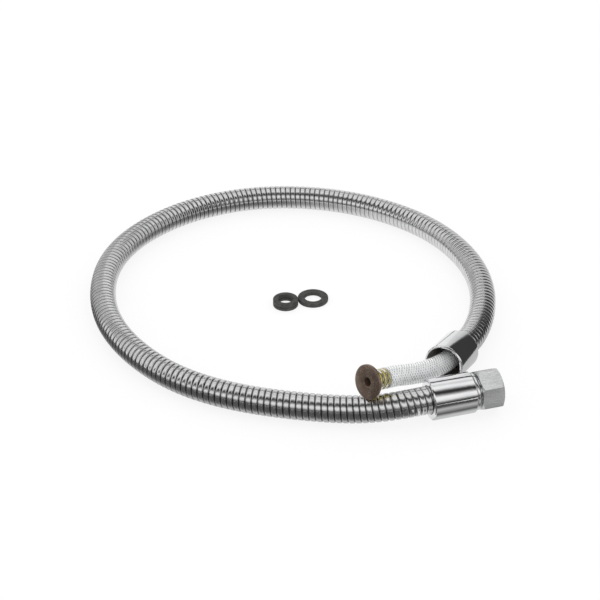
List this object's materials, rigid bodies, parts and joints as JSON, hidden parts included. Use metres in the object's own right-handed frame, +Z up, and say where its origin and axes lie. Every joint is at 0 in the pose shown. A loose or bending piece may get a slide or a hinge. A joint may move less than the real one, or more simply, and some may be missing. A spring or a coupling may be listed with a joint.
{
  "type": "flexible armoured spray hose",
  "caption": "Flexible ribbed metal hose with a braided clear liner, a swivel nut at its inlet and a threaded collar at its outlet, with loose rubber washers.",
  "frame": {"origin": "centre of the fittings and washers on the surface that the hose lies on", "axes": "+Z up from that surface, +Y towards the far side of the loop, +X towards the inlet's nut"},
  "size_m": [0.3029, 0.3232, 0.0439],
  "materials": {
    "armour": "polished stainless strip",
    "liner_core": "clear, smooth",
    "yarn": "white yarn",
    "clear_jacket": "clear, glossy",
    "ferrule": "turned",
    "collar": "bright chrome plate",
    "brass": "turned",
    "nut": "satin plate",
    "bronze": "brown bronze, glossy",
    "washer": "matte black"
  },
  "bodies": {
    "hose": {"armour": "armour", "liner_core": "liner_core", "liner_braid": "yarn", "liner_jacket": "clear_jacket", "inlet_ferrule": "ferrule", "inlet_collar": "collar", "inlet_adaptor": "collar", "inlet_insert": "brass", "outlet_ferrule": "ferrule", "outlet_insert": "bronze"},
    "nut": {"swivel_nut": "nut"},
    "outlet": {"outlet_collar": "collar"},
    "lower_washer": {"small_washer_lower": "washer"},
    "upper_washer": {"small_washer_upper": "washer"},
    "big_washer": {"large_washer": "washer"}
  },
  "joints": [
    {"name": "nut_spin", "type": "hinge", "parent": "hose", "child": "nut", "pos_m": [0.06754, -0.06107, 0.01481], "axis": [0.9611, 0.2756, 0.0195], "continuous": true},
    {"name": "outlet_collar_spin", "type": "hinge", "parent": "hose", "child": "outlet", "pos_m": [0.04691, -0.02377, 0.01599], "axis": [-0.4649, -0.8744, 0.1392], "continuous": true},
    {"name": "lower_washer_lift", "type": "slide", "parent": "hose", "child": "lower_washer", "axis": [0, 0, 1], "range_m": [0, 0.05]},
    {"name": "upper_washer_lift", "type": "slide", "parent": "lower_washer", "child": "upper_washer", "axis": [0, 0, 1], "range_m": [0, 0.05]},
    {"name": "large_washer_lift", "type": "slide", "parent": "hose", "child": "big_washer", "axis": [0, 0, 1], "range_m": [0, 0.05]}
  ]
}
